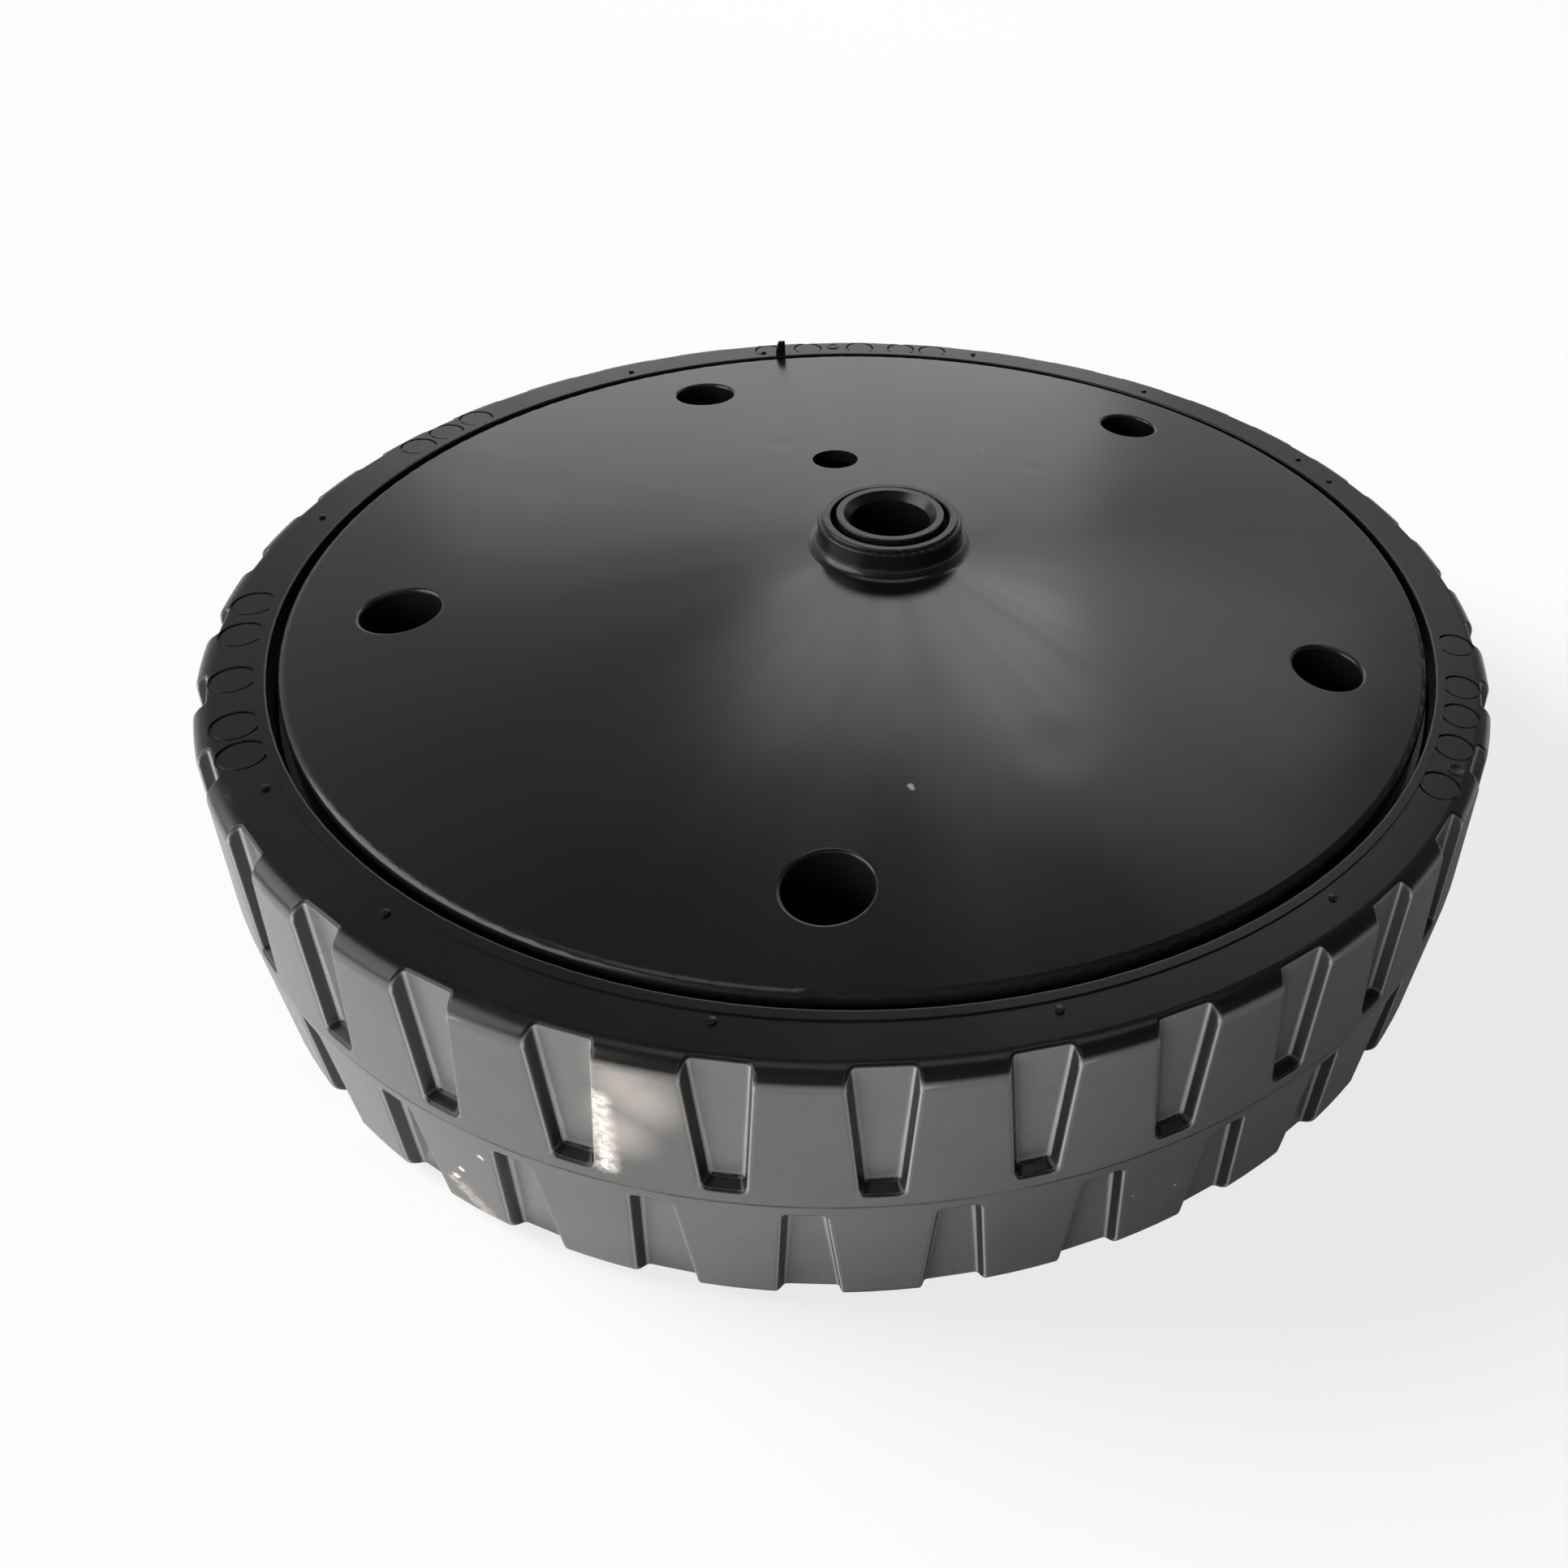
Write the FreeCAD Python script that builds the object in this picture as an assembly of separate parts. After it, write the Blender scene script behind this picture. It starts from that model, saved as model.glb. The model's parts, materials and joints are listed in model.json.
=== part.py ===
import FreeCAD, Part
import math
import os

Vector = FreeCAD.Vector

# Small wheel of a portable space heater: a hollow blow-moulded hub, a rubber tyre
# stretched into its rim channel, and a plain sleeve through the middle for the axle.
# The axle runs along Z. The origin is on the axle line, at the middle of the tread.
# All sizes are in millimetres and degrees.

# Tyre
tyre_diameter = 254.0
tyre_width = 54.5
crown_drop = 1.25
shoulder_round = 3.4
sidewall_height = 12.6
lip_band = 1.9
lip_step = 0.3
lip_round = 0.5
foot_round = 1.4

# Tread slots, two rows set half a pitch apart
slots_per_row = 36
first_slot = 5.3
slot_depth = 2.3
slot_mouth = 10.4
slot_end = 6.6
slot_lean = 1.0
slot_corner = 1.5
slot_floor_corner = 0.9
slot_foot_round = 0.7
slot_edge_round = 0.6
middle_rib = 4.6

# Blank mould plugs let into the upper sidewall
plug_diameter = 7.8
plug_sink = 0.12
plug_groove = 0.5
plug_groove_depth = 0.45
plug_inset = 7.5
plug_angles = (-167.0, -162.1, -155.3, -148.7, -144.6, -30.2, -24.2, -19.2, -14.5, -7.3,
               89.9, 94.2, 99.8, 106.8, 112.0, 152.0, 156.3, 160.5)

# Rim of the hub
rim_groove = 1.5
channel_depth = 7.9
flange = 7.4
flange_round = 1.0
rim_edge_round = 1.5
tyre_fit = 0.1

# Discs of the hub
hub_wall = 3.0
disc_slope = 3.7
disc_above_tyre = 0.55
back_below_tyre = 0.45
cavity_round = 3.0

# Dimples that join the two discs
dimple_count = 5
dimple_inset = 19.8
dimple_mouth = 14.0
dimple_taper = 2.2
dimple_rim_round = 0.7
dimple_floor_round = 3.0
kiss_thickness = 4.5

# Blow hole into the hollow
blow_hole = 10.4
blow_hole_radius = 41.6
blow_hole_angle = 113.4

# Collar around the axle
collar_gap = 1.1
collar_gap_depth = 6.0
collar_lip_wall = 1.9
collar_lip = 0.6
collar_lip_round = 0.4
collar_bulge = 0.8
collar_height = 5.5
collar_round = 0.45
collar_foot_round = 2.2
back_boss_round = 1.2
back_boss_foot_round = 3.0

# Axle sleeve
bore_diameter = 16.3
sleeve_wall = 2.85
sleeve_proud = 0.65
sleeve_edge = 0.25
bore_mouth = 1.35
bore_mouth_depth = 1.7
sleeve_fit = 0.05

# Two points closer than this are one
touch = 1e-6

# Heights and radii that follow from the sizes above
tyre_radius = tyre_diameter / 2
half_width = tyre_width / 2
lip_radius = tyre_radius - sidewall_height
rim_radius = lip_radius - rim_groove
channel_radius = rim_radius - channel_depth
disc_edge_z = half_width + disc_above_tyre
back_edge_z = back_below_tyre - half_width
channel_top = disc_edge_z - flange
channel_bottom = back_edge_z + flange
disc_rise = math.tan(math.radians(disc_slope))
bore_radius = bore_diameter / 2
sleeve_radius = bore_radius + sleeve_wall
seat_radius = sleeve_radius + sleeve_fit
gap_radius = sleeve_radius + collar_gap
collar_lip_radius = gap_radius + collar_lip_wall
collar_radius = collar_lip_radius + collar_bulge


def disc_z(radius):
    return disc_edge_z + disc_rise * (rim_radius - radius)


def back_z(radius):
    return back_edge_z + disc_rise * (rim_radius - radius)


collar_top = disc_z(collar_radius) + collar_height
lip_top = collar_top + collar_lip
sleeve_top = lip_top + sleeve_proud
boss_end = back_edge_z


def rounded_wire(corners, place):
    # Closed wire through (u, v, rounding) corners, each corner rounded by its own radius
    points = [Vector(u, v, 0) for u, v, rounding in corners]
    edges = []
    starts = []
    ends = []
    arcs = []
    for i, (u, v, rounding) in enumerate(corners):
        here = points[i]
        back = (points[i - 1] - here).normalize()
        ahead = (points[(i + 1) % len(points)] - here).normalize()
        half = back.getAngle(ahead) / 2
        reach = rounding / math.tan(half)
        starts.append(here + back * reach)
        ends.append(here + ahead * reach)
        middle = (back + ahead).normalize()
        arcs.append(here + middle * (rounding / math.sin(half) - rounding))
    for i, (u, v, rounding) in enumerate(corners):
        if rounding > 0:
            edges.append(Part.Arc(place(starts[i]), place(arcs[i]), place(ends[i])).toShape())
        following = (i + 1) % len(corners)
        if ends[i].distanceToPoint(starts[following]) > touch:
            edges.append(Part.LineSegment(place(ends[i]), place(starts[following])).toShape())
    return Part.Wire(edges)


def on_radius(point):
    return Vector(point.x, 0, point.y)


def ring(corners):
    face = Part.Face(rounded_wire(corners, on_radius))
    return face.revolve(Vector(0, 0, 0), Vector(0, 0, 1), 360)


def turned(shape, angle):
    copy = shape.copy()
    copy.rotate(Vector(0, 0, 0), Vector(0, 0, 1), angle)
    return copy


def raised(shape, x, y, z):
    copy = shape.copy()
    copy.translate(Vector(x, y, z))
    return copy


# Tyre body: tread falling from the middle to both shoulders, flat sidewalls with a raised
# lip band, and a foot that fills the rim channel
foot_radius = channel_radius + tyre_fit
foot_top = channel_top - tyre_fit
foot_bottom = channel_bottom + tyre_fit
shoulder_radius = tyre_radius - crown_drop
band_radius = lip_radius + lip_band
tyre = ring([
    (foot_radius, foot_bottom, foot_round),
    (foot_radius, foot_top, foot_round),
    (lip_radius, foot_top, lip_round),
    (lip_radius, half_width + lip_step, lip_round),
    (band_radius, half_width + lip_step, 0),
    (band_radius, half_width, 0),
    (shoulder_radius, half_width, shoulder_round),
    (tyre_radius, 0, 0),
    (shoulder_radius, -half_width, shoulder_round),
    (band_radius, -half_width, 0),
    (band_radius, -half_width - lip_step, 0),
    (lip_radius, -half_width - lip_step, lip_round),
    (lip_radius, foot_bottom, lip_round),
])

# One tread slot: narrow and rounded beside the middle rib, wide and open at the shoulder,
# with leaning walls and a floor that keeps its depth along the tapered tread
slot_start = middle_rib / 2
slot_widening = (slot_mouth - slot_end) / 2 / (half_width - slot_start)
slot_overrun = shoulder_round


def slot_wire(height, corner):
    # Outline of the slot at a height above the tread, negative inside the rubber
    grow = height * slot_lean / slot_depth
    low = slot_start - grow
    high = half_width + slot_overrun
    narrow = slot_end / 2 + grow + slot_widening * (low - slot_start)
    wide = slot_end / 2 + grow + slot_widening * (high - slot_start)
    return rounded_wire(
        [(-narrow, low, corner), (narrow, low, corner), (wide, high, 0), (-wide, high, 0)],
        lambda point: Vector(tyre_radius + height, point.x, point.y))


slot_floor = slot_wire(-slot_depth, slot_floor_corner)
slot_top = slot_wire(slot_depth, slot_corner)
slot = Part.makeLoft([slot_floor, slot_top], True)
floor_radius = tyre_radius - slot_depth
open_end = half_width + slot_overrun
feet = []
for edge in slot.Edges:
    on_floor = all(abs(vertex.X - floor_radius) < touch for vertex in edge.Vertexes)
    if on_floor and edge.CenterOfMass.z < open_end - touch:
        feet.append(edge)
slot = slot.makeFillet(slot_foot_round, feet)
tread_lean = math.degrees(math.atan2(crown_drop, half_width))
slot.rotate(Vector(tyre_radius, 0, 0), Vector(0, 1, 0), -tread_lean)
lower_slot = slot.mirror(Vector(0, 0, 0), Vector(0, 0, 1))
pitch = 360 / slots_per_row
slots = [turned(slot, first_slot + pitch * i) for i in range(slots_per_row)]
slots += [turned(lower_slot, first_slot + pitch * (i + 0.5)) for i in range(slots_per_row)]
tyre = tyre.cut(slots)


def is_tread(face):
    return isinstance(face.Surface, (Part.Cone, Part.Toroid))


# Soft edges all round the slots, where the tread or the shoulder meets a slot's walls and floor
slot_edges = []
for edge in tyre.Edges:
    beside = [is_tread(face) for face in tyre.ancestorsOfType(edge, Part.Face)]
    if any(beside) and not all(beside) and not edge.Closed:
        slot_edges.append(edge)
tyre = tyre.makeFillet(slot_edge_round, slot_edges)

# Round plug marks, each a slightly sunk face inside a thin groove, cut off at the lip band
plug_place = Vector(tyre_radius - plug_inset, 0, half_width - plug_groove_depth)
plug = Part.makeCylinder(plug_diameter / 2, plug_groove_depth + lip_step, plug_place)
plug_face = Part.makeCylinder(plug_diameter / 2 - plug_groove, plug_groove_depth - plug_sink, plug_place)
plug = plug.cut(plug_face)
plug = plug.cut(Part.makeCylinder(band_radius, tyre_width, Vector(0, 0, 0)))
tyre = tyre.cut([turned(plug, angle) for angle in plug_angles])

# Hub skin: sloping front disc with the collar, rim channel between two flanges, and a back
# disc dished by the same slope around a plain boss that ends inside the tyre's face
skin = ring([
    (gap_radius, lip_top, collar_lip_round),
    (collar_lip_radius, lip_top, collar_lip_round),
    (collar_lip_radius, collar_top, 0),
    (collar_radius, collar_top, collar_round),
    (collar_radius, disc_z(collar_radius), collar_foot_round),
    (rim_radius, disc_edge_z, rim_edge_round),
    (rim_radius, channel_top, flange_round),
    (channel_radius, channel_top, flange_round),
    (channel_radius, channel_bottom, flange_round),
    (rim_radius, channel_bottom, flange_round),
    (rim_radius, back_edge_z, rim_edge_round),
    (collar_radius, back_z(collar_radius), back_boss_foot_round),
    (collar_radius, boss_end, back_boss_round),
    (seat_radius, boss_end, 0),
    (seat_radius, lip_top - collar_gap_depth, 0),
    (gap_radius, lip_top - collar_gap_depth, 0),
])

# Hollow between the discs, one wall in from the skin
core_radius = gap_radius + hub_wall
cavity_radius = channel_radius - hub_wall
cavity = ring([
    (core_radius, disc_z(core_radius) - hub_wall, cavity_round),
    (cavity_radius, disc_z(cavity_radius) - hub_wall, cavity_round),
    (cavity_radius, back_z(cavity_radius) + hub_wall, cavity_round),
    (core_radius, back_z(core_radius) + hub_wall, cavity_round),
])

# Dimples: deep tapered wells from the front disc down to the back disc
dimple_circle = rim_radius - dimple_inset
mouth_z = disc_z(dimple_circle)
well_floor = back_z(dimple_circle) + kiss_thickness
well_top = mouth_z + dimple_mouth
draft = math.tan(math.radians(dimple_taper))
mouth_radius = dimple_mouth / 2


def well(grow, low, high, rounding):
    # Tapered round solid, larger than the well by grow, between two heights
    low_radius = mouth_radius + grow - draft * (mouth_z - low)
    high_radius = mouth_radius + grow + draft * (high - mouth_z)
    wire = Part.Wire([
        Part.LineSegment(Vector(0, 0, high), Vector(high_radius, 0, high)).toShape(),
        Part.LineSegment(Vector(high_radius, 0, high), Vector(low_radius, 0, low)).toShape(),
        Part.LineSegment(Vector(low_radius, 0, low), Vector(0, 0, low)).toShape(),
        Part.LineSegment(Vector(0, 0, low), Vector(0, 0, high)).toShape(),
    ])
    solid = Part.Face(wire).revolve(Vector(0, 0, 0), Vector(0, 0, 1), 360)
    if rounding > 0:
        foot = [edge for edge in solid.Edges if edge.Closed and edge.CenterOfMass.z < low + touch]
        solid = solid.makeFillet(rounding, foot)
    return raised(solid, dimple_circle, 0, 0)


def dimple_angle(i):
    return -90 + 360 / dimple_count * i


well_wall = well(hub_wall, back_z(dimple_circle) + hub_wall / 2, mouth_z - hub_wall / 2, 0)
well_space = well(0, well_floor, well_top, dimple_floor_round)
for i in range(dimple_count):
    cavity = cavity.cut(turned(well_wall, dimple_angle(i)))
hub = skin.cut(cavity)
for i in range(dimple_count):
    hub = hub.cut(turned(well_space, dimple_angle(i)))

# Soft rims where the dimples leave the disc, found by their length and height
rims = []
for edge in hub.Edges:
    about_mouth = abs(edge.Length - math.pi * dimple_mouth) < hub_wall
    if edge.Closed and about_mouth and edge.CenterOfMass.z > channel_top:
        rims.append(edge)
hub = hub.makeFillet(dimple_rim_round, rims)

# Blow hole through the front disc
blow_z = disc_z(blow_hole_radius)
blow_place = Vector(blow_hole_radius, 0, blow_z - blow_hole)
blow = Part.makeCylinder(blow_hole / 2, 2 * blow_hole, blow_place)
hub = hub.cut(turned(blow, blow_hole_angle))

# Sleeve: straight tube with an opened-out mouth at both ends
mouth = bore_radius + bore_mouth
sleeve = ring([
    (bore_radius, boss_end + bore_mouth_depth, 0),
    (mouth, boss_end, 0),
    (sleeve_radius, boss_end, sleeve_edge),
    (sleeve_radius, sleeve_top, sleeve_edge),
    (mouth, sleeve_top, 0),
    (bore_radius, sleeve_top - bore_mouth_depth, 0),
])

os.makedirs("parts", exist_ok=True)
for name, shape in (("tyre", tyre), ("hub", hub), ("axle_sleeve", sleeve)):
    solid = shape.Solids[0]
    solid.exportStep("parts/" + name + ".step")
    volume = round(solid.Volume / 1000, 1)
    print(name, len(shape.Solids), "solid,", len(solid.Faces), "faces,", volume, "cm3")
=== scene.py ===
import json
import math

import bpy
from mathutils import Matrix, Vector

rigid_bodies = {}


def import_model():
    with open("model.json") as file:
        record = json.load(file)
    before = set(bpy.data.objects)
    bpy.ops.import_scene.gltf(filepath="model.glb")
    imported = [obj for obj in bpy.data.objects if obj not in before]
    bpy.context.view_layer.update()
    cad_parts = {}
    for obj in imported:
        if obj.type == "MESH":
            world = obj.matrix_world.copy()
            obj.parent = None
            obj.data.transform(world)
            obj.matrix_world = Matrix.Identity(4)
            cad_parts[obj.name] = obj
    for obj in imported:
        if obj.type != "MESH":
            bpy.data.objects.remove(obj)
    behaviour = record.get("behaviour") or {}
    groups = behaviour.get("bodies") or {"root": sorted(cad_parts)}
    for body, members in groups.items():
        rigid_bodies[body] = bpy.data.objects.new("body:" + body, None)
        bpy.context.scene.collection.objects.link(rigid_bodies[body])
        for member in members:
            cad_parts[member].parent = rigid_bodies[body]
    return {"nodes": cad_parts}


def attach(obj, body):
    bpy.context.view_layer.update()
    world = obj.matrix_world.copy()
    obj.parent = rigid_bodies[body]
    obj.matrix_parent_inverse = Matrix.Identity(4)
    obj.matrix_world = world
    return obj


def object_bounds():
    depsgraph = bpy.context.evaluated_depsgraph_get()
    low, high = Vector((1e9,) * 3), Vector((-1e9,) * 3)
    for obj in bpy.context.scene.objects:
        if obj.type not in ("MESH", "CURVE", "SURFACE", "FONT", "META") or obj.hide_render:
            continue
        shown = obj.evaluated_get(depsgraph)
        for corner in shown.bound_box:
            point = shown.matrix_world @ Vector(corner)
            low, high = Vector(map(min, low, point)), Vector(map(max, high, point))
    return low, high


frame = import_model()
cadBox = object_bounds()
mm = 0.001  # pieces and materials are written in millimetres, the floor and the lamps in metres
nodes = frame["nodes"]
print("frame loaded:", sorted(nodes))


def deselectAll():
    if bpy.context.object and bpy.context.object.mode != "OBJECT":
        bpy.ops.object.mode_set(mode="OBJECT")
    bpy.ops.object.select_all(action="DESELECT")


def linear(code):  # sRGB hex to linear RGBA
    shades = [int(code[start:start + 2], 16) / 255 for start in (1, 3, 5)]
    return [shade / 12.92 if shade <= 0.04045 else ((shade + 0.055) / 1.055) ** 2.4
            for shade in shades] + [1.0]


def onWheel(radius, angle, height):  # a place on the wheel in metres, from millimetres and degrees
    turn = math.radians(angle)
    return Vector((radius * math.cos(turn), radius * math.sin(turn), height)) * mm


def span(values):  # inputs 1 to 4 of a Map Range: from low, from high, to low, to high
    return dict(enumerate(values, 1))


def addNode(tree, kind, settings=None, links=None):
    node = tree.nodes.new(kind)
    for name, value in (settings or {}).items():
        if isinstance(name, str) and hasattr(node, name):
            setattr(node, name, value)
        else:
            node.inputs[name].default_value = value
    for name, socket in (links or {}).items():
        tree.links.new(socket, node.inputs[name])
    return node


def newMaterial(name):
    material = bpy.data.materials.new(name)
    material.use_nodes = True
    tree = material.node_tree
    tree.nodes.clear()
    return material, tree


def spotShare(tree, place, spots):  # 1 inside any of the round spots, fading to 0 outside them
    share = None
    for radius, angle, height, core, reach in spots:
        away = addNode(tree, "ShaderNodeVectorMath",
                       {"operation": "DISTANCE", 1: onWheel(radius, angle, height)}, {0: place})
        near = addNode(tree, "ShaderNodeMapRange",
                       {**span((core * mm, reach * mm, 1.0, 0.0)), "interpolation_type": "SMOOTHSTEP"},
                       {0: away.outputs["Value"]})
        if share is None:
            share = near.outputs[0]
        else:
            share = addNode(tree, "ShaderNodeMath", {"operation": "MAXIMUM"},
                            {0: share, 1: near.outputs[0]}).outputs[0]
    return share


def fleckShare(tree, place, look):  # sparse specks of dust, one in each chosen cell
    cells = addNode(tree, "ShaderNodeTexVoronoi", {"Scale": 1 / (look["fleckEveryMm"] * mm)},
                    {"Vector": place})
    chance = addNode(tree, "ShaderNodeSeparateXYZ", links={0: cells.outputs["Color"]})
    chosen = addNode(tree, "ShaderNodeMath", {"operation": "LESS_THAN", 1: look["fleckChance"]},
                     {0: chance.outputs[0]})
    size = look["fleckMm"] / look["fleckEveryMm"]
    near = addNode(tree, "ShaderNodeMapRange", span((size / 2, size, 1.0, 0.0)),
                   {0: cells.outputs["Distance"]})
    return addNode(tree, "ShaderNodeMath", {"operation": "MULTIPLY"},
                   {0: chosen.outputs[0], 1: near.outputs[0]}).outputs[0]


deselectAll()

# tyre: compression-moulded black rubber, deep satin on the sidewall, greyed by dust on the tread;
# a spot is radius, angle and height on the wheel, then its core and its reach
tyreLook = {
    "sidewall": "#0a0a0a",
    "film": "#424241",
    "slotFilm": "#4c4c4b",
    # edge: a pale painted highlight along the slot rims and the feet of the slot walls, partly wear
    "edge": "#7a7a78",
    "partingLine": "#161616",
    "scuff": "#7a746f",
    "rubbed": "#c6beb7",
    "chips": "#b5b2aa",
    "graze": "#8a7a6e",
    "fleck": "#8e8d8a",
    "ior": 1.42,
    "rough": (0.3, 0.7, 0.22, 0.3),
    "fleckEveryMm": 7,
    "fleckMm": 0.35,
    "fleckChance": 0.16,
    "grainMm": 0.5,
    "grainBump": 0.08,
    "grainBumpMm": 0.1,
    "cloudMm": 20,
    "patchy": (0.3, 0.7, 0.78, 1.0),
    "outFacing": (0.3, 0.85, 0.06, 1.0),  # lands and slot floors face straight out, slot walls don't
    "notShoulder": (0.1, 0.6, 1.0, 0.0),  # the film ends where the shoulder turns up
    "treadFromMm": 119,
    "slotFloorMm": (125.0, 126.0),  # more dust lies in the slots
    "edgeMm": 0.9,
    "edgeFromMm": 122.5,
    "edgeToMm": 26.7,
    # where the painted edge highlights lie: sharp edges, and the rounding between a slot wall and the land or
    # slot floor
    "sharpEdge": (0.99, 0.93, 0.0, 0.75),
    "leavingWall": (0.5, 0.68, 0.0, 1.0),
    "reachingLand": (0.97, 0.86, 0.0, 0.8),
    "partingMm": (0.16, 0.32),  # where the line starts to fade and where it ends
    "partingBreaks": (0.35, 0.5, 0.15, 0.85),
    "scuffGrainMm": 0.9,
    "torn": (0.36, 0.62, 0.25, 0.95),
    "wobbleMm": 1.6,
    "scuffSpots": [(126.2, -100.4, 22, 0, 9), (126.2, -99.4, 20, 0, 9), (126.2, -101.4, 12, 0, 8)],
    "rubbedSpots": [(126.4, -102.2, height, 0.2, 2.6) for height in (4, 6, 8.5, 11, 13.5, 16, 18)],
    "chipSpots": [(126.3, -114.9, -13.4, 0.4, 0.8), (126.3, -115.8, -16.6, 0.4, 0.9),
                  (126.3, -112.4, -6.2, 0.3, 0.9), (124.5, -106.6, -16.4, 0.3, 0.8),
                  (124.5, -105.9, -18.0, 0.3, 0.6)],
    "grazeSpots": [(125.8, -115.4, -19.8, 0.8, 2.6), (125.6, -114.6, -22.0, 0.8, 2.4),
                   (125.4, -113.8, -23.6, 0.6, 2.2), (125.6, -116.2, -18.2, 0.4, 1.8)],
}


def measureTyre(tree, look):  # where a point lies on the tyre, which way it faces, and a cloudy pattern
    where = addNode(tree, "ShaderNodeTexCoord")
    place = where.outputs["Object"]
    apart = addNode(tree, "ShaderNodeSeparateXYZ", links={0: place})
    height = addNode(tree, "ShaderNodeMath", {"operation": "ABSOLUTE"}, {0: apart.outputs[2]})
    flat = addNode(tree, "ShaderNodeCombineXYZ", links={0: apart.outputs[0], 1: apart.outputs[1]})
    reach = addNode(tree, "ShaderNodeVectorMath", {"operation": "LENGTH"}, {0: flat.outputs[0]})
    outward = addNode(tree, "ShaderNodeVectorMath", {"operation": "NORMALIZE"}, {0: flat.outputs[0]})
    facing = addNode(tree, "ShaderNodeVectorMath", {"operation": "DOT_PRODUCT"},
                     {0: where.outputs["Normal"], 1: outward.outputs[0]})
    lean = addNode(tree, "ShaderNodeSeparateXYZ", links={0: where.outputs["Normal"]})
    upright = addNode(tree, "ShaderNodeMath", {"operation": "ABSOLUTE"}, {0: lean.outputs[2]})
    notShoulder = addNode(tree, "ShaderNodeMapRange",
                          {**span(look["notShoulder"]), "interpolation_type": "SMOOTHSTEP"},
                          {0: upright.outputs[0]})
    cloud = addNode(tree, "ShaderNodeTexNoise",
                    {"Scale": 1 / (look["cloudMm"] * mm), "Detail": 5.0, "Roughness": 0.6}, {"Vector": place})
    patchy = addNode(tree, "ShaderNodeMapRange", span(look["patchy"]), {0: cloud.outputs[0]})
    return {"place": place, "height": height.outputs[0], "reach": reach.outputs["Value"],
            "facing": facing.outputs["Value"], "notShoulder": notShoulder.outputs[0],
            "cloud": cloud.outputs[0], "patchy": patchy.outputs[0]}


def dustShare(tree, look, tyre):  # film of dust on the lands and slot floors
    share = addNode(tree, "ShaderNodeMapRange",
                    {**span(look["outFacing"]), "interpolation_type": "SMOOTHSTEP"},
                    {0: tyre["facing"]}).outputs[0]
    outside = addNode(tree, "ShaderNodeMath", {"operation": "GREATER_THAN", 1: look["treadFromMm"] * mm},
                      {0: tyre["reach"]})
    for factor in (tyre["notShoulder"], outside.outputs[0], tyre["patchy"]):
        share = addNode(tree, "ShaderNodeMath", {"operation": "MULTIPLY"}, {0: share, 1: factor}).outputs[0]
    return share


def softenEdges(tree, look, tyre):  # normals rounded at the slot edges, and a pale painted highlight along those edges, partly wear
    soft = addNode(tree, "ShaderNodeBevel", {"samples": 8, "Radius": look["edgeMm"] * mm})
    shape = addNode(tree, "ShaderNodeNewGeometry")
    belowTop = addNode(tree, "ShaderNodeMath", {"operation": "LESS_THAN", 1: look["edgeToMm"] * mm},
                       {0: tyre["height"]})
    farOut = addNode(tree, "ShaderNodeMath", {"operation": "GREATER_THAN", 1: look["edgeFromMm"] * mm},
                     {0: tyre["reach"]})
    onEdges = addNode(tree, "ShaderNodeMath", {"operation": "MULTIPLY"},
                      {0: farOut.outputs[0], 1: belowTop.outputs[0]})
    normal = addNode(tree, "ShaderNodeMix", {"data_type": "VECTOR"},
                     {0: onEdges.outputs[0], 4: shape.outputs["Normal"], 5: soft.outputs[0]})
    turned = addNode(tree, "ShaderNodeVectorMath", {"operation": "DOT_PRODUCT"},
                     {0: soft.outputs[0], 1: shape.outputs["Normal"]})
    sharp = addNode(tree, "ShaderNodeMapRange", span(look["sharpEdge"]), {0: turned.outputs["Value"]})
    rounding = addNode(tree, "ShaderNodeMapRange", span(look["leavingWall"]), {0: tyre["facing"]}).outputs[0]
    reaching = addNode(tree, "ShaderNodeMapRange", span(look["reachingLand"]), {0: tyre["facing"]})
    for factor in (reaching.outputs[0], tyre["notShoulder"]):
        rounding = addNode(tree, "ShaderNodeMath", {"operation": "MULTIPLY"},
                           {0: rounding, 1: factor}).outputs[0]
    wearAndHighlight = addNode(tree, "ShaderNodeMath", {"operation": "MAXIMUM"},
                   {0: sharp.outputs[0], 1: rounding}).outputs[0]
    for factor in (onEdges.outputs[0], tyre["patchy"]):
        wearAndHighlight = addNode(tree, "ShaderNodeMath", {"operation": "MULTIPLY"}, {0: wearAndHighlight, 1: factor}).outputs[0]
    return normal.outputs[1], wearAndHighlight


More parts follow.
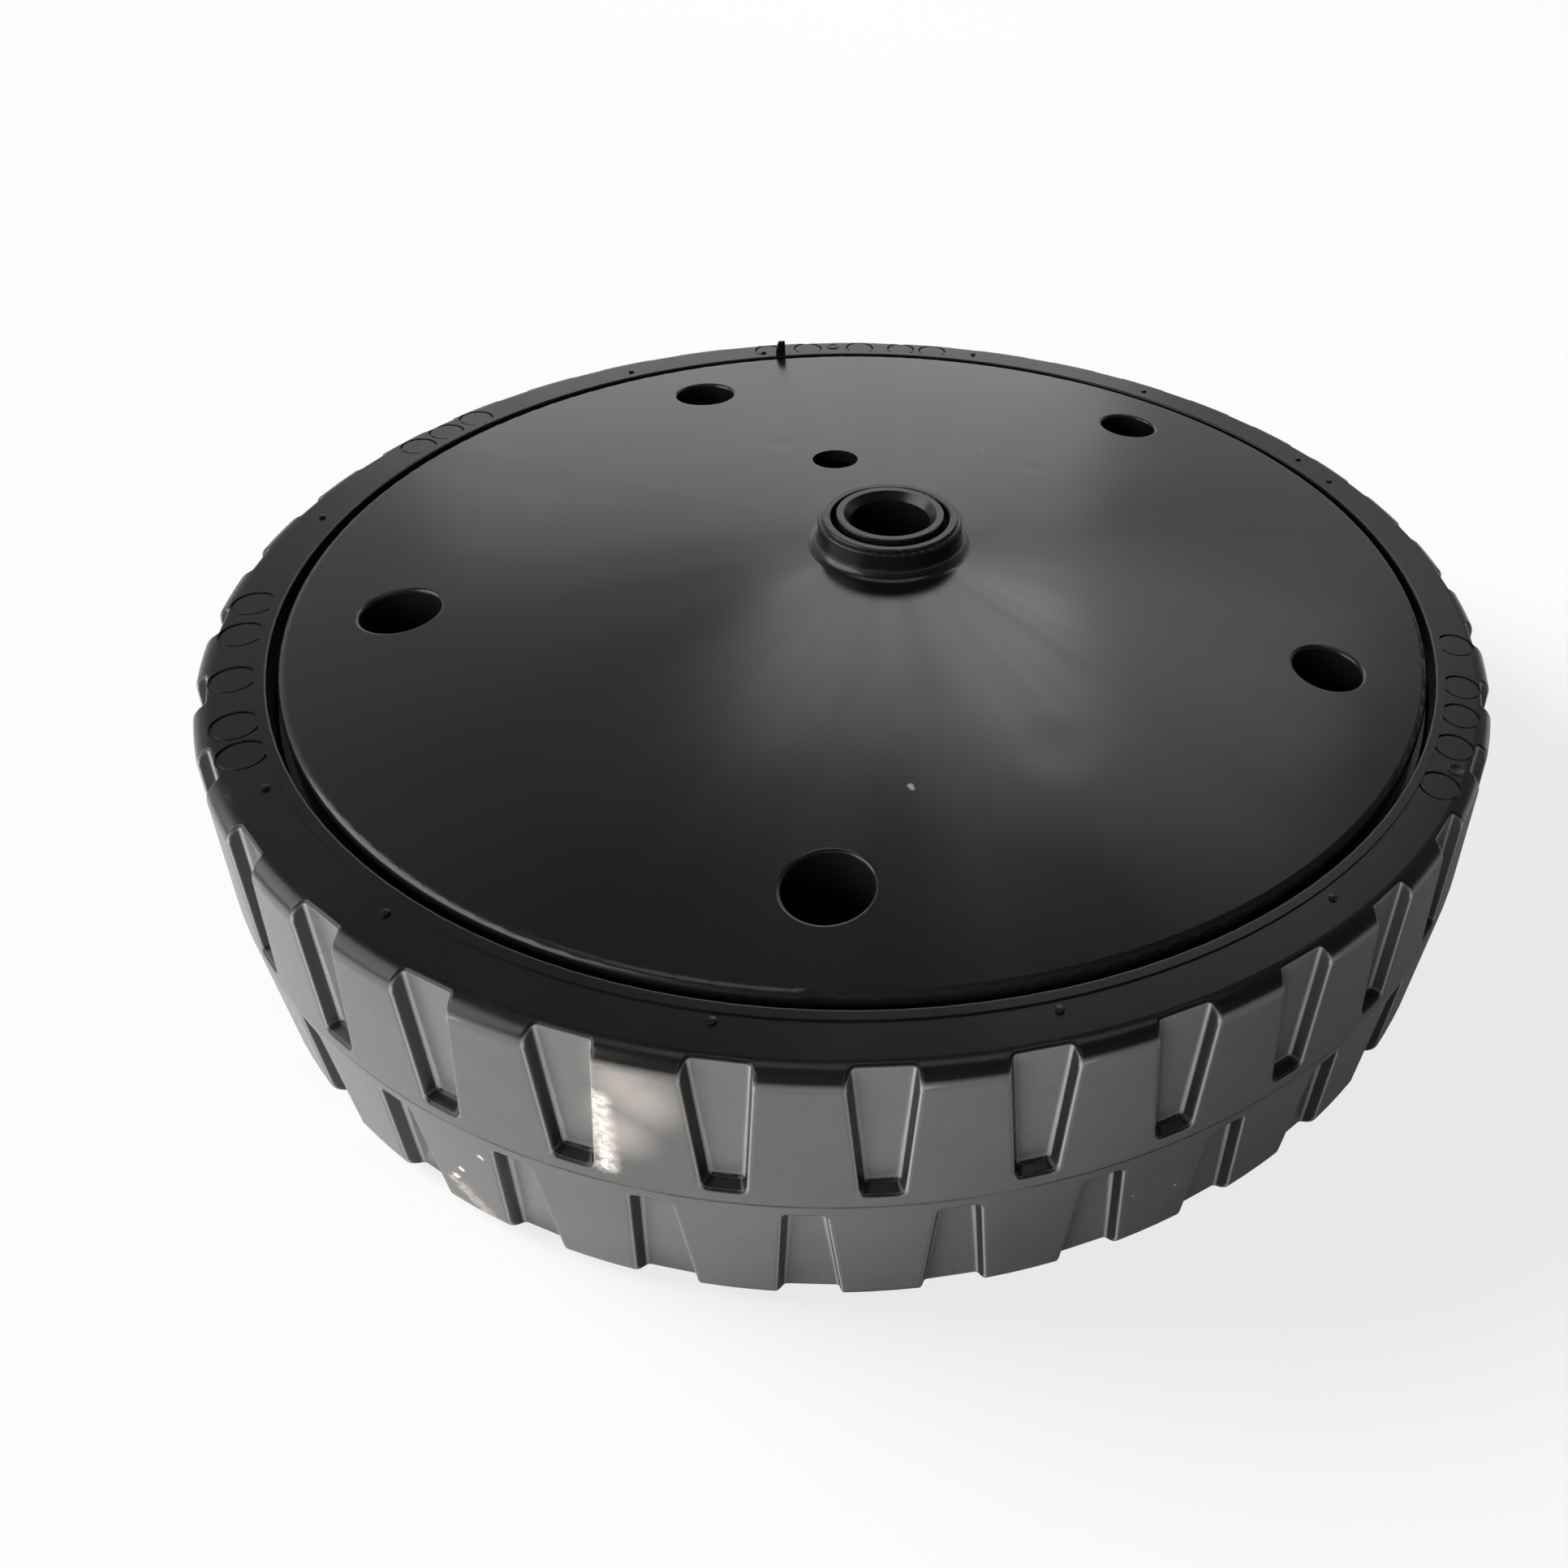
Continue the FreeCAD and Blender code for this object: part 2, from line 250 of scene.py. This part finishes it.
def addMarks(tree, look, tyre, colour, dusty, wearAndHighlight):  # pale painted highlights on the edges, parting line and ragged marks of use
    fullTo, fadedAt = look["partingMm"]
    seam = addNode(tree, "ShaderNodeMapRange", span((fullTo * mm, fadedAt * mm, 1.0, 0.0)),
                   {0: tyre["height"]})
    broken = addNode(tree, "ShaderNodeMapRange", span(look["partingBreaks"]), {0: tyre["cloud"]})
    crumbs = addNode(tree, "ShaderNodeTexNoise",
                     {"Scale": 1 / (look["scuffGrainMm"] * mm), "Detail": 4.0, "Roughness": 0.65},
                     {"Vector": tyre["place"]})
    torn = addNode(tree, "ShaderNodeMapRange", span(look["torn"]), {0: crumbs.outputs[0]})
    torn = addNode(tree, "ShaderNodeMath", {"operation": "MULTIPLY"},
                   {0: torn.outputs[0], 1: tyre["notShoulder"]}).outputs[0]
    wobble = look["wobbleMm"] * mm
    aside = addNode(tree, "ShaderNodeVectorMath",
                    {"operation": "MULTIPLY_ADD", 1: [wobble] * 3, 2: [-wobble / 2] * 3},
                    {0: crumbs.outputs["Color"]})
    shifted = addNode(tree, "ShaderNodeVectorMath", {"operation": "ADD"},
                      {0: tyre["place"], 1: aside.outputs[0]}).outputs[0]
    marks = [  # colour, where it lies and what it keeps within
        # painted highlight along the slot edges, partly wear
        (look["edge"], wearAndHighlight, None),
        (look["partingLine"], seam.outputs[0], broken.outputs[0]),
        (look["graze"], spotShare(tree, shifted, look["grazeSpots"]), torn),
        (look["scuff"], spotShare(tree, shifted, look["scuffSpots"]), dusty),
        (look["rubbed"], spotShare(tree, shifted, look["rubbedSpots"]), torn),
        (look["chips"], spotShare(tree, shifted, look["chipSpots"]), None),
        (look["fleck"], fleckShare(tree, tyre["place"], look), None),
    ]
    for shade, share, within in marks:
        if within is not None:
            share = addNode(tree, "ShaderNodeMath", {"operation": "MULTIPLY"},
                            {0: share, 1: within}).outputs[0]
        colour = addNode(tree, "ShaderNodeMix", {"data_type": "RGBA", 7: linear(shade)},
                         {0: share, 6: colour}).outputs[2]
    return colour


def makeTyreRubber(look):
    material, tree = newMaterial("compression_moulded_rubber")
    tyre = measureTyre(tree, look)
    floorRadius, landRadius = look["slotFloorMm"]
    deep = addNode(tree, "ShaderNodeMapRange", span((floorRadius * mm, landRadius * mm, 1.0, 0.0)),
                   {0: tyre["reach"]})
    film = addNode(tree, "ShaderNodeMix",
                   {"data_type": "RGBA", 6: linear(look["film"]), 7: linear(look["slotFilm"])},
                   {0: deep.outputs[0]})
    dusty = dustShare(tree, look, tyre)
    colour = addNode(tree, "ShaderNodeMix", {"data_type": "RGBA", 6: linear(look["sidewall"])},
                     {0: dusty, 7: film.outputs[2]}).outputs[2]
    normal, wearAndHighlight = softenEdges(tree, look, tyre)
    colour = addMarks(tree, look, tyre, colour, dusty, wearAndHighlight)
    rough = addNode(tree, "ShaderNodeMapRange", span(look["rough"]), {0: tyre["cloud"]})
    grain = addNode(tree, "ShaderNodeTexNoise", {"Scale": 1 / (look["grainMm"] * mm), "Detail": 3.0},
                    {"Vector": tyre["place"]})
    bump = addNode(tree, "ShaderNodeBump",
                   {"Strength": look["grainBump"], "Distance": look["grainBumpMm"] * mm},
                   {"Height": grain.outputs[0], "Normal": normal})
    shader = addNode(tree, "ShaderNodeBsdfPrincipled", {"IOR": look["ior"]},
                     {"Base Color": colour, "Roughness": rough.outputs[0], "Normal": bump.outputs[0]})
    addNode(tree, "ShaderNodeOutputMaterial", links={"Surface": shader.outputs[0]})
    return material


# hub: blow-moulded polyethylene, satin black, faintly wavy as the plastic cooled against the mould
hubLook = {
    "shade": "#080808",
    "bloom": "#0e0e0f",
    "fleck": "#7d7d7c",
    "ior": 1.53,
    "rough": (0.5, 1.0, 0.19, 0.27),
    "waveMm": 55,
    "waveShare": 0.5,
    "waveBump": 0.22,
    "waveBumpMm": 1.0,
    "streaks": 5,
    "grainMm": 0.6,
    "grainBump": 0.05,
    "grainBumpMm": 0.05,
    "fleckEveryMm": 16,
    "fleckMm": 0.4,
    "fleckChance": 0.12,
    "speckSpots": [(72.1, -81.7, 30.4, 0.3, 0.7), (72.7, -81.5, 30.4, 0.2, 0.6)],
    "dentSpots": [(54.3, 123.9, 31.6, 0, 4.5), (51.2, 54.7, 31.8, 0, 4), (69.3, -58.9, 30.6, 0, 10),
                  (91.1, -31.0, 29.2, 0, 15)],
    "dentBump": 0.25,
    "dentBumpMm": 0.25,
}
sleeveLook = dict(hubLook, rough=(0.5, 1.0, 0.24, 0.32))  # extruded polyethylene, a little duller


def makeHubPlastic(look, name):
    material, tree = newMaterial(name)
    place = addNode(tree, "ShaderNodeTexCoord").outputs["Object"]
    apart = addNode(tree, "ShaderNodeSeparateXYZ", links={0: place})
    flat = addNode(tree, "ShaderNodeCombineXYZ", links={0: apart.outputs[0], 1: apart.outputs[1]})
    outward = addNode(tree, "ShaderNodeVectorMath", {"operation": "NORMALIZE"}, {0: flat.outputs[0]})
    wave = addNode(tree, "ShaderNodeTexNoise", {"Scale": 1 / (look["waveMm"] * mm), "Detail": 2.0},
                   {"Vector": place})
    streak = addNode(tree, "ShaderNodeTexNoise", {"Scale": look["streaks"], "Detail": 4.0},
                     {"Vector": outward.outputs[0]})  # runs out from the middle
    grain = addNode(tree, "ShaderNodeTexNoise", {"Scale": 1 / (look["grainMm"] * mm), "Detail": 2.0},
                    {"Vector": place})
    colour = addNode(tree, "ShaderNodeMix",
                     {"data_type": "RGBA", 6: linear(look["shade"]), 7: linear(look["bloom"])},
                     {0: wave.outputs[0]}).outputs[2]
    for share in (fleckShare(tree, place, look), spotShare(tree, place, look["speckSpots"])):
        colour = addNode(tree, "ShaderNodeMix", {"data_type": "RGBA", 7: linear(look["fleck"])},
                         {0: share, 6: colour}).outputs[2]
    sheen = addNode(tree, "ShaderNodeMath", {"operation": "MULTIPLY_ADD", 1: look["waveShare"]},
                    {0: wave.outputs[0], 2: streak.outputs[0]})
    rough = addNode(tree, "ShaderNodeMapRange", span(look["rough"]), {0: sheen.outputs[0]})
    broad = addNode(tree, "ShaderNodeBump",
                    {"Strength": look["waveBump"], "Distance": look["waveBumpMm"] * mm},
                    {"Height": wave.outputs[0]})
    dented = addNode(tree, "ShaderNodeBump",
                     {"Strength": look["dentBump"], "Distance": look["dentBumpMm"] * mm, "invert": True},
                     {"Height": spotShare(tree, place, look["dentSpots"]), "Normal": broad.outputs[0]})
    fine = addNode(tree, "ShaderNodeBump",
                   {"Strength": look["grainBump"], "Distance": look["grainBumpMm"] * mm},
                   {"Height": grain.outputs[0], "Normal": dented.outputs[0]})
    shader = addNode(tree, "ShaderNodeBsdfPrincipled", {"IOR": look["ior"]},
                     {"Base Color": colour, "Roughness": rough.outputs[0], "Normal": fine.outputs[0]})
    addNode(tree, "ShaderNodeOutputMaterial", links={"Surface": shader.outputs[0]})
    return material


tyreRubber = makeTyreRubber(tyreLook)
nodes["tyre"].material_slots[0].material = tyreRubber
nodes["hub"].material_slots[0].material = makeHubPlastic(hubLook, "blow_moulded_polyethylene")
nodes["axle_sleeve"].material_slots[0].material = makeHubPlastic(sleeveLook, "extruded_polyethylene")
print("materials made")

finishSpec = {"mergeMm": 0.001, "smoothAngle": 40, "softenSteps": 2}


def soften(piece, width):  # round the edges of the active piece
    rounding = piece.modifiers.new("soften", "BEVEL")
    rounding.width = width * mm
    rounding.segments = finishSpec["softenSteps"]
    rounding.limit_method = "ANGLE"
    bpy.ops.object.modifier_apply(modifier="soften")


def finishPiece(piece, name):
    deselectAll()
    piece.select_set(True)
    bpy.context.view_layer.objects.active = piece
    bpy.ops.object.transform_apply(location=True, rotation=True, scale=True)
    bpy.ops.object.mode_set(mode="EDIT")
    bpy.ops.mesh.select_all(action="SELECT")
    bpy.ops.mesh.remove_doubles(threshold=finishSpec["mergeMm"] * mm)
    bpy.ops.mesh.normals_make_consistent(inside=False)
    bpy.ops.object.mode_set(mode="OBJECT")
    bpy.ops.object.shade_smooth_by_angle(angle=math.radians(finishSpec["smoothAngle"]))
    piece.name = name
    piece.data.materials.clear()
    piece.data.materials.append(tyreRubber)
    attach(piece, "root")


# vent pips and small plugs: stubs of rubber trimmed off near the sidewall, each with a hollow top
sidewallTop = 27.25
pipSpec = {
    "radius": 0.66, "height": 0.5, "sunk": 0.08, "rim": 0.22, "hollow": 0.2, "soften": 0.06, "sides": 20,
    "places": [(118.3, -121.4), (117.8, -96.0), (118.0, -72.8), (118.4, -48.5), (118.3, -139.6),
               (118.9, 177.3), (118.4, 130.8), (119.9, 84.2), (119.1, 59.2), (119.2, 33.8), (118.7, 27.7)],
}
smallPlugSpec = {
    "radius": 1.6, "height": 0.3, "sunk": 0.08, "rim": 0.35, "hollow": 0.16, "soften": 0.07, "sides": 32,
    "places": [(121.1, -27.3), (120.4, 103.4)],
}


def makeStubs(spec, name):
    deselectAll()
    middle = sidewallTop - spec["sunk"] + spec["height"] / 2
    bpy.ops.mesh.primitive_cylinder_add(vertices=spec["sides"], radius=spec["radius"] * mm,
                                        depth=spec["height"] * mm,
                                        location=onWheel(*spec["places"][0], middle))
    stub = bpy.context.object
    for face in stub.data.polygons:
        face.select = face.normal.z > 0.9  # the top
    bpy.ops.object.mode_set(mode="EDIT")
    bpy.ops.mesh.select_mode(type="FACE")
    bpy.ops.mesh.inset(thickness=spec["rim"] * mm)
    bpy.ops.mesh.extrude_region_move(TRANSFORM_OT_translate={"value": (0, 0, -spec["hollow"] * mm)})
    bpy.ops.object.mode_set(mode="OBJECT")
    soften(stub, spec["soften"])
    stubs = [stub]
    for radius, angle in spec["places"][1:]:
        deselectAll()
        stub.select_set(True)
        bpy.context.view_layer.objects.active = stub
        bpy.ops.object.duplicate(linked=False)
        bpy.context.object.location = onWheel(radius, angle, middle)
        stubs.append(bpy.context.object)
    deselectAll()
    for piece in stubs:
        piece.select_set(True)
    bpy.context.view_layer.objects.active = stub
    bpy.ops.object.join()
    finishPiece(stub, name)


makeStubs(pipSpec, "vent_pips")
makeStubs(smallPlugSpec, "small_plugs")
print("pips and small plugs made")

# flash tag: a thin upright fin of rubber left on the lip, straight on one side and swept in on the other;
# each step of its rise is a height and how much it narrows
tagSpec = {"angle": 110.9, "radius": 114.9, "foot": 27.45, "width": 2.6, "thick": 0.7, "thinning": 0.96,
           "rise": [(1.2, 0.97), (1.2, 0.93), (1.0, 0.88), (0.9, 0.8)], "soften": 0.14}
nibSpec = {"angle": 113.1, "radius": 117.4, "foot": 27.2, "width": 1.8, "thick": 0.8, "thinning": 0.96,
           "rise": [(0.4, 0.75), (0.4, 0.6)], "soften": 0.12}


def makeTag(spec, name):
    deselectAll()
    bpy.ops.mesh.primitive_plane_add(size=1)
    tag = bpy.context.object
    tag.scale = (spec["width"] * mm, spec["thick"] * mm, 1)
    bpy.ops.object.transform_apply(location=False, rotation=False, scale=True)
    bpy.ops.object.mode_set(mode="EDIT")
    bpy.ops.mesh.select_all(action="SELECT")
    straightSide = spec["width"] / 2 * mm
    top = 0
    for step, narrowing in spec["rise"]:
        bpy.ops.mesh.extrude_region_move(TRANSFORM_OT_translate={"value": (0, 0, step * mm)})
        top += step * mm
        bpy.ops.transform.resize(value=(narrowing, spec["thinning"], 1),
                                 center_override=(straightSide, 0, top))
    bpy.ops.object.mode_set(mode="OBJECT")
    soften(tag, spec["soften"])
    tag.location = onWheel(spec["radius"], spec["angle"], spec["foot"])
    tag.rotation_euler = (0, 0, math.radians(spec["angle"] - 90))
    finishPiece(tag, name)


makeTag(tagSpec, "flash_tag")
makeTag(nibSpec, "flash_nib")
print("flash tags made")

# floor: a plain sheet of matt paper, far wider than the view, near white to the camera with a soft shadow
floorSpec = {"halfWidth": 12.0, "paper": "#a0a0a0", "backdropShare": 0.8, "mirroredShare": 0.1}


def makeFloor(spec):
    deselectAll()
    bpy.ops.mesh.primitive_plane_add(size=2 * spec["halfWidth"], location=(0, 0, cadBox[0].z))
    floor = bpy.context.object
    floor.name = "floor"
    material, tree = newMaterial("matt_paper_sweep")
    path = addNode(tree, "ShaderNodeLightPath")
    mirrored = addNode(tree, "ShaderNodeMath", {"operation": "MAXIMUM"},
                       {0: path.outputs["Is Glossy Ray"], 1: path.outputs["Is Transmission Ray"]})
    mirrored = addNode(tree, "ShaderNodeMath", {"operation": "MULTIPLY", 1: spec["mirroredShare"]},
                       {0: mirrored.outputs[0]})
    share = addNode(tree, "ShaderNodeMath", {"operation": "MULTIPLY_ADD", 1: spec["backdropShare"]},
                    {0: path.outputs["Is Camera Ray"], 2: mirrored.outputs[0]})
    paper = addNode(tree, "ShaderNodeBsdfDiffuse", {"Color": linear(spec["paper"])})
    glow = addNode(tree, "ShaderNodeEmission", {"Color": (1, 1, 1, 1), "Strength": 1.0})
    both = addNode(tree, "ShaderNodeMixShader",
                   links={0: share.outputs[0], 1: paper.outputs[0], 2: glow.outputs[0]})
    addNode(tree, "ShaderNodeOutputMaterial", links={"Surface": both.outputs[0]})
    floor.data.materials.append(material)


makeFloor(floorSpec)
print("floor laid")

# light: a window of three soft panes behind the wheel, a softbox close to the front left, a large panel at
# the left, a panel overhead, a dim room, and low sun that lights the floor and lays the wheel's shadow on it
lampSpecs = [
    {"name": "window_low", "azimuth": -12, "elevation": 19, "distance": 1.3, "size": (0.92, 0.5),
     "power": 1.1},
    {"name": "window_high", "azimuth": -3, "elevation": 42, "distance": 1.3, "size": (0.53, 0.32),
     "power": 1.2},
    {"name": "window_right", "azimuth": 18, "elevation": 41, "distance": 1.35, "size": (0.47, 0.5),
     "power": 0.6},
    {"name": "softbox_left", "azimuth": -147, "elevation": 20, "distance": 0.42, "size": (0.5, 0.25),
     "power": 3.6, "lights": "wheel", "glare": False},
    {"name": "panel_left", "azimuth": -108, "elevation": 25, "distance": 1.6, "size": (1.6, 1.2),
     "power": 15.0, "lights": "wheel"},
    {"name": "panel_overhead", "azimuth": 180, "elevation": 88, "distance": 1.5, "size": (1.4, 0.55),
     "power": 2.7},
    {"name": "low_sun", "azimuth": -75, "elevation": 30, "distance": 3, "softness": 30,
     "power": 14.0, "lights": "floor"},
]
lit = {name: bpy.data.collections.new("lit_" + name) for name in ("wheel", "floor")}
for piece in bpy.context.scene.objects:
    if piece.type == "MESH":
        lit["floor" if piece.name == "floor" else "wheel"].objects.link(piece)


def addLamp(spec):
    deselectAll()
    azimuth = math.radians(spec["azimuth"])  # from +Y towards +X
    elevation = math.radians(spec["elevation"])
    level = math.cos(elevation)
    away = Vector((math.sin(azimuth) * level, math.cos(azimuth) * level, math.sin(elevation)))
    kind = "SUN" if "softness" in spec else "AREA"
    bpy.ops.object.light_add(type=kind, location=away * spec["distance"])
    lamp = bpy.context.object
    lamp.name = spec["name"]
    lamp.rotation_euler = away.to_track_quat("Z", "Y").to_euler()
    if kind == "SUN":
        lamp.data.angle = math.radians(spec["softness"])
    else:
        lamp.data.shape = "RECTANGLE"
        lamp.data.size, lamp.data.size_y = spec["size"]
    lamp.data.energy = spec["power"]
    lamp.visible_camera = False
    lamp.visible_glossy = spec.get("glare", True)
    if "lights" in spec:
        lamp.light_linking.receiver_collection = lit[spec["lights"]]


for spec in lampSpecs:
    addLamp(spec)

# room: each step is the sine of a height above the horizon and its level; the camera sees a plain pale wall
roomSpec = {"steps": [(0.0, 0.6), (0.5, 0.45), (0.7, 0.2), (0.8, 0.09), (1.0, 0.05)],
            "brightSide": (-0.64, 0.77, 0), "sides": (-0.6, 0.5, 0.15, 1.0), "backdrop": 0.97}


def makeRoom(spec):
    world = bpy.data.worlds.new("dim_room")
    bpy.context.scene.world = world
    world.use_nodes = True
    tree = world.node_tree
    tree.nodes.clear()
    way = addNode(tree, "ShaderNodeTexCoord").outputs["Generated"]
    apart = addNode(tree, "ShaderNodeSeparateXYZ", links={0: way})
    ramp = addNode(tree, "ShaderNodeValToRGB", links={0: apart.outputs[2]})
    points = ramp.color_ramp.elements
    while len(points) < len(spec["steps"]):
        points.new(0.5)  # put in its place below
    for point, (height, level) in zip(points, spec["steps"]):
        point.position = height
        point.color = (level, level, level, 1)
    toBright = addNode(tree, "ShaderNodeVectorMath", {"operation": "DOT_PRODUCT", 1: spec["brightSide"]},
                       {0: way})
    level = addNode(tree, "ShaderNodeMapRange", span(spec["sides"]), {0: toBright.outputs["Value"]})
    sky = addNode(tree, "ShaderNodeBackground",
                  links={"Color": ramp.outputs[0], "Strength": level.outputs[0]})
    wall = addNode(tree, "ShaderNodeBackground", {"Color": (1, 1, 1, 1), "Strength": spec["backdrop"]})
    path = addNode(tree, "ShaderNodeLightPath")
    both = addNode(tree, "ShaderNodeMixShader",
                   links={0: path.outputs["Is Camera Ray"], 1: sky.outputs[0], 2: wall.outputs[0]})
    addNode(tree, "ShaderNodeOutputWorld", links={0: both.outputs[0]})


makeRoom(roomSpec)
print("lights placed")

# camera: close and wide, looking down at the wheel, framed off centre
cameraSpec = {
    "lens": 29.09,
    "sensor": 36,
    "at": (21.42, -228.80, 171.44),
    "down": 34.136,
    "pan": 4.540,
    "roll": 6.177,
    "shift": (-0.1832, -0.1014),
    "nearestMm": 10,
}


def addCamera(spec):
    deselectAll()
    turn = Matrix.Rotation(math.radians(-spec["pan"]), 4, "Z")
    tip = Matrix.Rotation(math.radians(90 - spec["down"]), 4, "X")
    roll = Matrix.Rotation(math.radians(spec["roll"]), 4, "Z")
    bpy.ops.object.camera_add()
    camera = bpy.context.object
    camera.matrix_world = Matrix.Translation(Vector(spec["at"]) * mm) @ turn @ tip @ roll
    camera.data.sensor_width = spec["sensor"]
    camera.data.lens = spec["lens"]
    camera.data.shift_x, camera.data.shift_y = spec["shift"]
    camera.data.clip_start = spec["nearestMm"] * mm
    bpy.context.scene.camera = camera


addCamera(cameraSpec)
bpy.context.scene.view_settings.view_transform = "Standard"
print("camera set")
